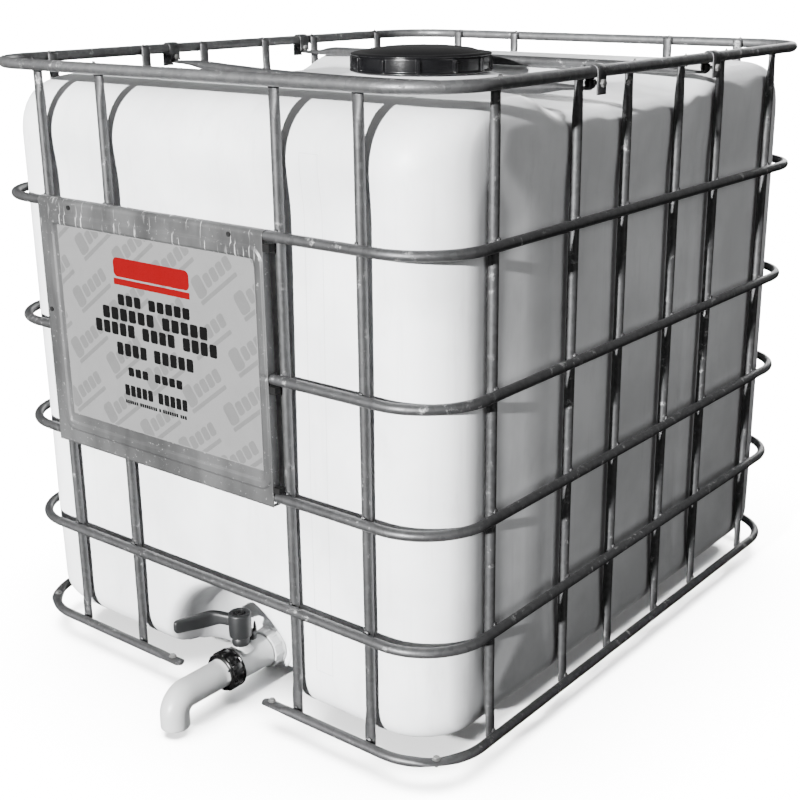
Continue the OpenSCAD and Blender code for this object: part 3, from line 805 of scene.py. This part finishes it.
def make_print():
    """Plain blocks in place of the lines of print, and a red block with a bar under it."""
    y = LABEL_LO.y - 0.1 * MM
    dark, red = Pile(), Pile()
    # left, right, bottom and top in mm, and how many blocks each group has
    rows = ((-156, 18, 684.5, 703, (3, 5)), (-196, 56, 658, 679, (6, 5)), (-217, 75, 632.5, 654, (5, 4, 4)),
            (-167, 19, 599.5, 621, (4, 5)), (-143, -10, 566, 581, (3, 4)), (-155, -2, 531, 550, (5, 5)),
            (-156, -7, 517, 523, (6, 8, 1, 7, 3)))
    for row in rows:
        row_of_blocks(dark, *row, y)
    slab(red, rounded_block(-161 * MM, 731.5 * MM, 17 * MM, 763 * MM, 9 * MM), y)
    slab(red, rounded_block(-162 * MM, 718 * MM, 17 * MM, 728.5 * MM, 1 * MM), y)
    dark.piece("print_dark", PRINT_DARK)
    red.piece("print_red", PRINT_RED)


def make_pattern():
    """Pale repeated marks running up to the right behind the print, cut off at the label's edge."""
    pile = Pile()
    slope = math.radians(36)
    ahead = Vector((math.cos(slope), math.sin(slope)))
    up = Vector((-math.sin(slope), math.cos(slope)))
    start, row_step, mark_step = Vector((-70 * MM, 640 * MM)), 63 * MM, 136 * MM
    shapes = [(0, 0, 24, 36)] + [(x, 6, 15, 22) for x in (28, 46, 64, 82)] + [(0, -9, 98, 7)]
    for row in range(-7, 8):
        for k in range(-4, 5):
            at = start + up * row * row_step + ahead * (k + (row % 2) / 2) * mark_step
            for u, v, w, h in shapes:
                corners = rounded_block(u * MM, v * MM, (u + w) * MM, (v + h) * MM, min(w, h) * 0.3 * MM)
                slab(pile, [tuple(at + ahead * x + up * z) for x, z in corners], LABEL_LO.y, 0.08 * MM)
    obj = pile.piece("print_pattern", PRINT_PALE)
    bm = bmesh.new()
    bm.from_mesh(obj.data)
    edge = Vector((1.5 * MM, 0, 1.5 * MM))
    for at, outward in ((LABEL_LO + edge, (-1, 0, 0)), (LABEL_HI - edge, (1, 0, 0)),
                        (LABEL_LO + edge, (0, 0, -1)), (LABEL_HI - edge, (0, 0, 1))):
        bmesh.ops.bisect_plane(bm, geom=bm.verts[:] + bm.edges[:] + bm.faces[:], plane_co=at,
                               plane_no=outward, clear_outer=True)
        bmesh.ops.holes_fill(bm, edges=[e for e in bm.edges if e.is_boundary])
    bm.to_mesh(obj.data)
    bm.free()


make_plate()
make_print()
make_pattern()

# ---------- bottle ----------

BOTTLE_HI = node_box("bottle")[1]
HALF_X, HALF_Y = BOTTLE_HI.x, BOTTLE_HI.y
PAD_Z = BOTTLE_HI.z - 19 * MM
DECK_DROP, DECK_FROM = 22 * MM, 850 * MM
WALL_CORNER, FRONT_RIGHT_CORNER = 72 * MM, 96 * MM
FOOT_RADIUS, FOOT_SLOPE, FOOT_CENTRE_Z = 60 * MM, math.radians(14), 103 * MM
SHOULDER_RADIUS, SIDE_SHOULDER = 92 * MM, 34 * MM
BASE_HALF_X, BASE_CORNER = 250 * MM, 60 * MM
VALVE_X = centre("valve_stem").x
BORE_Z = centre("outlet_gasket").z
NECK_RADIUS = 113 * MM
RECESS_Z, RECESS_FLOOR = 50 * MM, -60 * MM
VOXEL = 7.5 * MM
CHANNELS_Y, CHANNEL_WIDTH, CHANNEL_DEPTH = (-262 * MM, 190 * MM), 13 * MM, 4.5 * MM
WALL_WAVE = 0.9 * MM


def wall_row(inset_x, inset_y, z, radius=WALL_CORNER, front_right=FRONT_RIGHT_CORNER):
    outline = rounded_outline(HALF_X - inset_x, HALF_Y - inset_y, radius, 10, front_right)
    return [Vector((x, y, z)) for x, y in outline]


def bottle_body():
    """The closed outer skin: flat base, sloped foot, upright walls, rounded shoulders."""
    base_inset = HALF_X - BASE_HALF_X
    rows = [wall_row(base_inset, base_inset, 0, BASE_CORNER, BASE_CORNER)]
    for k in range(9):
        a = (FOOT_SLOPE - math.pi / 2) * (1 - k / 8)
        inset = FOOT_RADIUS * (1 - math.cos(a))
        rows.append(wall_row(inset, inset, FOOT_CENTRE_Z + FOOT_RADIUS * math.sin(a)))
    for k in range(19):
        a = math.pi / 2 * k / 18
        inset = SHOULDER_RADIUS * (1 - math.cos(a))
        below = SHOULDER_RADIUS * (1 - math.sin(a))
        side_inset = SIDE_SHOULDER - math.sqrt(SIDE_SHOULDER ** 2 - max(0, SIDE_SHOULDER - below) ** 2)
        rows.append(wall_row(side_inset, inset, PAD_Z - below))
    verts = [p for row in rows for p in row]
    return add_mesh("bottle_shell", verts, capped_faces(len(rows), len(rows[0])), POLY)


def arch_cutter():
    """The hollow that the valve stands in, flared at its mouth: (depth, radius) stations in mm."""
    stations = ((-30, 184), (-4, 174), (6, 163), (15, 156), (26, 151), (84, 147), (95, 141), (102, 130),
                (106, 112))
    steps = 28
    verts = []
    for depth, radius in stations:
        y, r = -HALF_Y + depth * MM, radius * MM
        for k in range(steps + 1):
            a = math.pi * k / steps
            verts.append((VALVE_X + r * math.cos(a), y, RECESS_Z + r * math.sin(a)))
        verts += [(VALVE_X - r, y, RECESS_FLOOR), (VALVE_X + r, y, RECESS_FLOOR)]
    return add_mesh("arch_cutter", verts, capped_faces(len(stations), steps + 3), POLY, body=None)


def cut_away(obj, cutter):
    modifier(obj, "BOOLEAN", operation="DIFFERENCE", object=cutter, solver="EXACT")
    apply_modifiers(obj)
    bpy.data.objects.remove(cutter)


def valley(x, y):
    """How far the deck lies below the pads, from 0 to 1."""
    side = smoothstep(330 * MM, 450 * MM, abs(x))
    front = smoothstep(-305 * MM - 40 * MM * side, -238 * MM + 8 * MM * side, y)
    rear = 1 - smoothstep(138 * MM, 226 * MM + 30 * MM * side, y)
    return min(front, rear) * (1 + 0.5 * side)


def shape_bottle(obj):
    """Lowers the middle deck, presses in the side channels and the walls, and makes them a little wavy."""
    for vertex in obj.data.vertices:
        p = vertex.co
        if p.z > DECK_FROM:
            p.z -= DECK_DROP * valley(p.x, p.y) * smoothstep(DECK_FROM, PAD_Z, p.z)
        on_side = smoothstep(HALF_X - 25 * MM, HALF_X - 6 * MM, abs(p.x))
        if on_side:
            upright = smoothstep(0.09, 0.16, p.z) * (1 - smoothstep(0.90, 0.98, p.z))
            press = sum(math.exp(-((p.y - middle) / CHANNEL_WIDTH) ** 2) for middle in CHANNELS_Y)
            p.x -= math.copysign(CHANNEL_DEPTH * press * upright * on_side, p.x)
        upright = smoothstep(0.10, 0.20, p.z) * (1 - smoothstep(0.86, 0.95, p.z))
        if p.y < -0.5:
            press = 1 * MM + 6.5 * MM * smoothstep(0.38, 0.86, p.z)
            p.y += press * upright * (1 - smoothstep(0.32, 0.40, abs(p.x)))
        if on_side:
            p.x -= math.copysign(4 * MM * upright * (1 - smoothstep(0.41, 0.48, abs(p.y))) * on_side, p.x)
        wave = WALL_WAVE * (1 + noise.noise(p * 5.5))
        p.xy -= Vector((p.x / HALF_X, p.y / HALF_Y)) * wave


def open_mouth(obj, radius):
    """Cuts the top open under the neck and rounds the cut to a clean circle."""
    bm = bmesh.new()
    bm.from_mesh(obj.data)
    inside = [f for f in bm.faces if f.calc_center_median().z > 0.9
              and f.calc_center_median().xy.length < radius]
    bmesh.ops.delete(bm, geom=inside, context="FACES")
    for vertex in bm.verts:
        if vertex.is_boundary:
            vertex.co.xy = vertex.co.xy.normalized() * radius
    bm.to_mesh(obj.data)
    bm.free()


def make_bottle():
    """The whole skin, remeshed so that the recess blends into the walls, with its wall thickness."""
    obj = bottle_body()
    cut_away(obj, arch_cutter())
    modifier(obj, "REMESH", mode="VOXEL", voxel_size=VOXEL)
    modifier(obj, "SMOOTH", factor=0.5, iterations=5)
    apply_modifiers(obj)
    shape_bottle(obj)
    open_mouth(obj, NECK_RADIUS - 4 * MM)
    modifier(obj, "SOLIDIFY", thickness=3 * MM, offset=-1)
    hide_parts("bottle")


def make_neck():
    """The threaded neck and the low cone it stands on."""
    base, top = PAD_Z - DECK_DROP, BOTTLE_HI.z
    start = base + 18 * MM
    pitch, depth, rows = 9 * MM, 3.6 * MM, 34
    profile = in_mm(((190, -3), (183, 1.5), (150, 8.5), (130, 12.5), (119, 15), (114, 17)), height=base)
    for k in range(rows):
        z = start + (top - 1.5 * MM - start) * k / (rows - 1)

        def thread(a, z=z):
            phase = ((z - start) / pitch - a / (2 * math.pi)) % 1.0
            ridge = math.exp(-((phase - 0.5) / 0.16) ** 2)
            ends = smoothstep(0, 3 * MM, z - start) * smoothstep(0, 4 * MM, top - z)
            return NECK_RADIUS + depth * ridge * ends
        profile.append((thread, z))
    inner, lip, below = NECK_RADIUS - 7 * MM, 1.2 * MM, base - 6 * MM
    profile += [(NECK_RADIUS - lip, top), (inner + lip, top), (inner, top - lip),
                (inner, below), (inner + 4 * MM, below)]
    obj = lathe("bottle_neck", profile, (0, 0, 0), POLY, angles=even_angles(120))


make_bottle()
make_neck()

# ---------- cap ----------


def make_cap():
    """A ribbed skirt, a raised rim, a shallow groove and a low dome. Profiles are from the skirt, in mm."""
    low, high = node_box("cap")
    foot, rim = low.z, high.z - 10.5 * MM
    skirt, inner, first_rib = high.x - 5.2 * MM, 117.6, 6

    def ribbed(base, height):
        return lugged(skirt + base * MM, height * MM, 1.2, 2, first_rib)
    profile = in_mm([(inner + 0.8, 0)], height=foot)
    profile += in_mm(((4.2, 0), (5, 0.8), (5, 2.2), (ribbed(0.9, 4), 3.2), (ribbed(0, 5), 4.5)), skirt, foot)
    start, end = foot + 5 * MM, rim - 5.5 * MM
    profile += [(ribbed(0, 5), start + (end - start) * k / 8) for k in range(9)]
    top = ((ribbed(0, 4.6), -3.6), (ribbed(0, 3.2), -2.2), (-1, -1.6), (-1, -0.4), (3.2, 0.3), (3.4, 1.3),
           (1.6, 3.2), (-5, 4.6), (-9, 4.9), (-11, 4.2), (-13, 4.2), (-15, 5), (-30, 9.8), (-60, 13.6),
           (-100, 15.4))
    profile += in_mm(top, skirt, rim) + in_mm([(0.5, 15.8)], height=rim)
    inside = ((0.5, 26.4), (40, 26.4), (inner - 1, 26.4), (inner, 25.4), (inner, 1))
    profile += in_mm(inside, height=foot)
    angles = lug_angles((0.9, 1.25, 1.5, 1.8, 2.1, 2.6, 4, 6, 8.5, 11, 13.5), first_rib)
    obj = lathe("cap_moulding", profile, (0, 0, 0), BLACK_GLOSS, "cap_body", angles=angles)
    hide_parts("cap")


make_cap()

# ---------- valve, handle, coupling and spout ----------

STEM = centre("valve_stem")
BORE = Vector((VALVE_X, 0, BORE_Z))


def ring_y(name, profile, material, body="container", angles=None):
    """A ring round the bore. The profile is (radius, y) in mm; a radius may be a function, in metres."""
    return lathe(name, in_mm(profile), BORE, material, body, axis="Y", angles=angles)


def ring_z(name, profile, material, body="container"):
    """A ring round the stem. The profile is (radius, z) in mm."""
    return lathe(name, in_mm(profile), (STEM.x, STEM.y, 0), material, body)


def make_outlet():
    """The outlet of the bottle and the union nut screwed on it."""
    profile = [(22, -452), (46, -452), (46, -460), (43, -462.6), (39, -464.2), (34, -464.6), (30.6, -465),
               (29.8, -466), (29.8, -475.6), (29.2, -476.4), (22, -476.4)]
    ring_y("bottle_outlet", profile, POLY)
    lug = lugged(33.4 * MM, 1.2 * MM, 3, 5)
    low = lugged(33.2 * MM, 0.7 * MM, 3, 5)
    profile = [(28.4, -487.8), (32, -488), (33, -487.6), (33.4, -486.8), (low, -485.8), (lug, -484.6),
               (lug, -471.5), (low, -469.6), (36, -468.4), (36.2, -465.6), (35.6, -465), (30.3, -465.2),
               (30.3, -483.4), (28.4, -483.8)]
    angles = lug_angles((3, 3.5, 4, 4.5, 5, 6.5, 9, 12, 14.8))
    nut = ring_y("union_nut", profile, WHITE_MOULDED, angles=angles)
    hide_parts("outlet_nut")


def make_valve_body():
    """The valve's tube and bonnet, and the stop collar with its boss and pin."""
    profile = [(22.4, -572), (27.6, -572), (28.6, -571.2), (29, -570), (29, -559.5), (28.2, -558.6),
               (28, -557.5), (28, -506), (28.2, -500), (28.9, -495), (29.9, -491.6), (30, -490.6),
               (29.6, -489.4), (28, -488.6), (28, -484), (29.6, -483.7), (29.9, -483), (29.9, -479.6),
               (29.5, -479.2), (22, -479.2), (22, -571.6)]
    body = ring_y("valve_housing", profile, WHITE_MOULDED)
    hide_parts("valve_body")
    profile = [(6.15, 87), (22, 87), (19.5, 89.4), (16.8, 92), (15, 94.6), (13.6, 97), (13, 98.2), (13, 108),
               (12.4, 108.8), (6.8, 108.8), (6.15, 108)]
    ring_z("valve_bonnet", profile, WHITE_MOULDED)
    profile = [(13.2, 98.6), (14.6, 98.6), (15, 99.2), (15, 112.2), (14.4, 112.9), (6.6, 112.9),
               (6.4, 112.4), (6.4, 109.3), (13.1, 109.2)]
    collar = ring_z("stop_collar", profile, GREY_MOULDED)
    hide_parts("stop_plate")
    profile = ((0.5, 98.2), (8.6, 98.2), (9.6, 99.2), (9.6, 111.6), (8.6, 112.8), (0.5, 112.8))
    boss = lathe("stop_boss", in_mm(profile), (STEM.x, STEM.y + 24 * MM, 0), GREY_MOULDED, closed=False)
    at = Vector((STEM.x + 3 * MM, STEM.y + 31 * MM, 0))
    stations = ((108, 3.2), (113, 3), (118, 2.6), (124, 2), (128, 1.3), (130, 0.4))
    path = [at + Vector((0, 0, z * MM)) for z, r in stations]
    sizes = [(r, r * 1.3) for z, r in stations]
    pin = oval_sweep("stop_pin", path, sizes, (1, 0, 0), GREY_MOULDED, segments=16)


def make_handle():
    """Hub with a recessed top, and a gooseneck arm that ends in an upright blade."""
    profile = [(6.1, 114.2), (17.6, 114.2), (19, 114.9), (19.4, 116.2), (19.5, 134), (19.5, 154.6),
               (19.1, 156.6), (18, 157.7), (16.6, 158), (12.4, 158), (11.4, 157.4), (11, 156.6), (11, 154.1),
               (2.7, 154.1), (2.7, 148.2), (6.1, 148.1)]
    hub = ring_z("handle_hub", profile, GREY_MOULDED, "lever")
    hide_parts("valve_handle")
    # x and y from the stem, z, half width and half height, in mm
    stations = ((-8, -4, 142.5, 8.4, 10.5), (-17, -8.2, 142.8, 8, 10.6), (-24, -11.6, 143.6, 7.6, 10.4),
                (-31, -14.8, 144.4, 7.4, 10.8), (-37.5, -18.2, 144, 7.4, 12.2), (-43, -22.5, 143, 7.2, 13.4),
                (-47.2, -28.5, 142.4, 6.9, 14), (-50.2, -36, 142.4, 6.5, 13.9),
                (-53.5, -46, 142.8, 6.3, 13.6), (-57.5, -58, 143.4, 6.1, 12.9),
                (-61.5, -70.5, 143.9, 5.9, 12.4), (-64.4, -80, 144.1, 5.7, 12.2),
                (-65.9, -85, 144.2, 5.2, 11.6), (-66.7, -87.8, 144.2, 3.9, 9.4), (-67, -89, 144.2, 1.6, 4.4))
    path = [Vector((STEM.x + x * MM, STEM.y + y * MM, z * MM)) for x, y, z, w, h in stations]
    sizes = [(w, h) for x, y, z, w, h in stations]
    arm = oval_sweep("handle_arm", path, sizes, (-0.6, 0.8, 0), GREY_MOULDED, "lever", segments=32,
                     square=0.55)
    modifier(arm, "SUBSURF", levels=1, render_levels=1)


def make_coupling():
    """The lugged coupling nut and the two tabs on its outer face."""
    lug = lugged(30.9 * MM, 3.6 * MM, 7.2, 8.6)
    low = lugged(30.8 * MM, 1.9 * MM, 6.8, 8.6)
    profile = [(25.2, -589.2), (26, -590), (29.4, -590), (31.2, -589.4), (32.3, -588.2), (32.6, -587.2),
               (32.3, -586.6), (31.3, -586.3), (31.2, -585.9), (low, -585.6), (lug, -584.6), (lug, -566.4),
               (low, -565.2), (31.2, -564.9), (31.2, -564.5), (33.2, -564), (34.2, -563.4), (34.5, -562.6),
               (34.3, -561.6), (33.4, -561), (29.7, -561), (29.15, -561.6), (29.15, -583.1), (25.2, -583.2)]
    angles = lug_angles((3, 6, 7, 7.6, 8.2, 8.8, 10, 12, 14))
    nut = ring_y("coupling_ring", profile, BLACK_NUT, "coupling", angles)
    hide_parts("coupling_nut")
    sizes = [(2, 1.5)] * 3 + [(1.8, 1.3), (1, 0.7)]
    for number, degrees in ((1, 150), (2, 330)):
        a = math.radians(degrees)
        out = Vector((math.cos(a), 0, -math.sin(a)))
        path = [BORE + out * 31 * MM + Vector((0, y * MM, 0)) for y in (-586, -590, -594, -595.6, -596)]
        tab = oval_sweep("coupling_tab_%d" % number, path, sizes, out.cross(Vector((0, 1, 0))), BLACK_NUT,
                         "coupling", segments=16, square=0.6)


def make_spout():
    """A bent tube with a lip that the coupling nut holds."""
    radius, bore, bend = 24.5, 21.5, 28 * MM
    drop_y = node_box("spout")[0].y + radius * MM
    lip = ((-575, 28.3), (-576, 28.7), (-582, 28.7), (-582.8, 28.2), (-583.4, radius), (-600, radius),
           (-630, radius), (-655, radius))
    mouth = ((30, radius), (18, radius), (15.9, 24.3), (15, 23.6))
    path = [Vector((VALVE_X, y * MM, BORE_Z)) for y, r in lip]
    for k in range(13):
        a = math.pi / 2 * k / 12
        path.append(Vector((VALVE_X, drop_y + bend * (1 - math.sin(a)), BORE_Z - bend * (1 - math.cos(a)))))
    path += [Vector((VALVE_X, drop_y, z * MM)) for z, r in mouth]
    outer = [r for y, r in lip] + [radius] * 13 + [r for z, r in mouth]
    inner = [22] * 5 + [bore] * (len(path) - 7) + [21.7, 22.4]
    tube = hollow_sweep("spout_elbow", path, outer, inner, (1, 0, 0), WHITE_MOULDED, "spout_body")
    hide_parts("spout")


make_outlet()
make_valve_body()
make_handle()
make_coupling()
make_spout()

light_only(back_fill, [o for o in bpy.data.objects if o.type == "MESH" and not o.name.startswith("cap")])
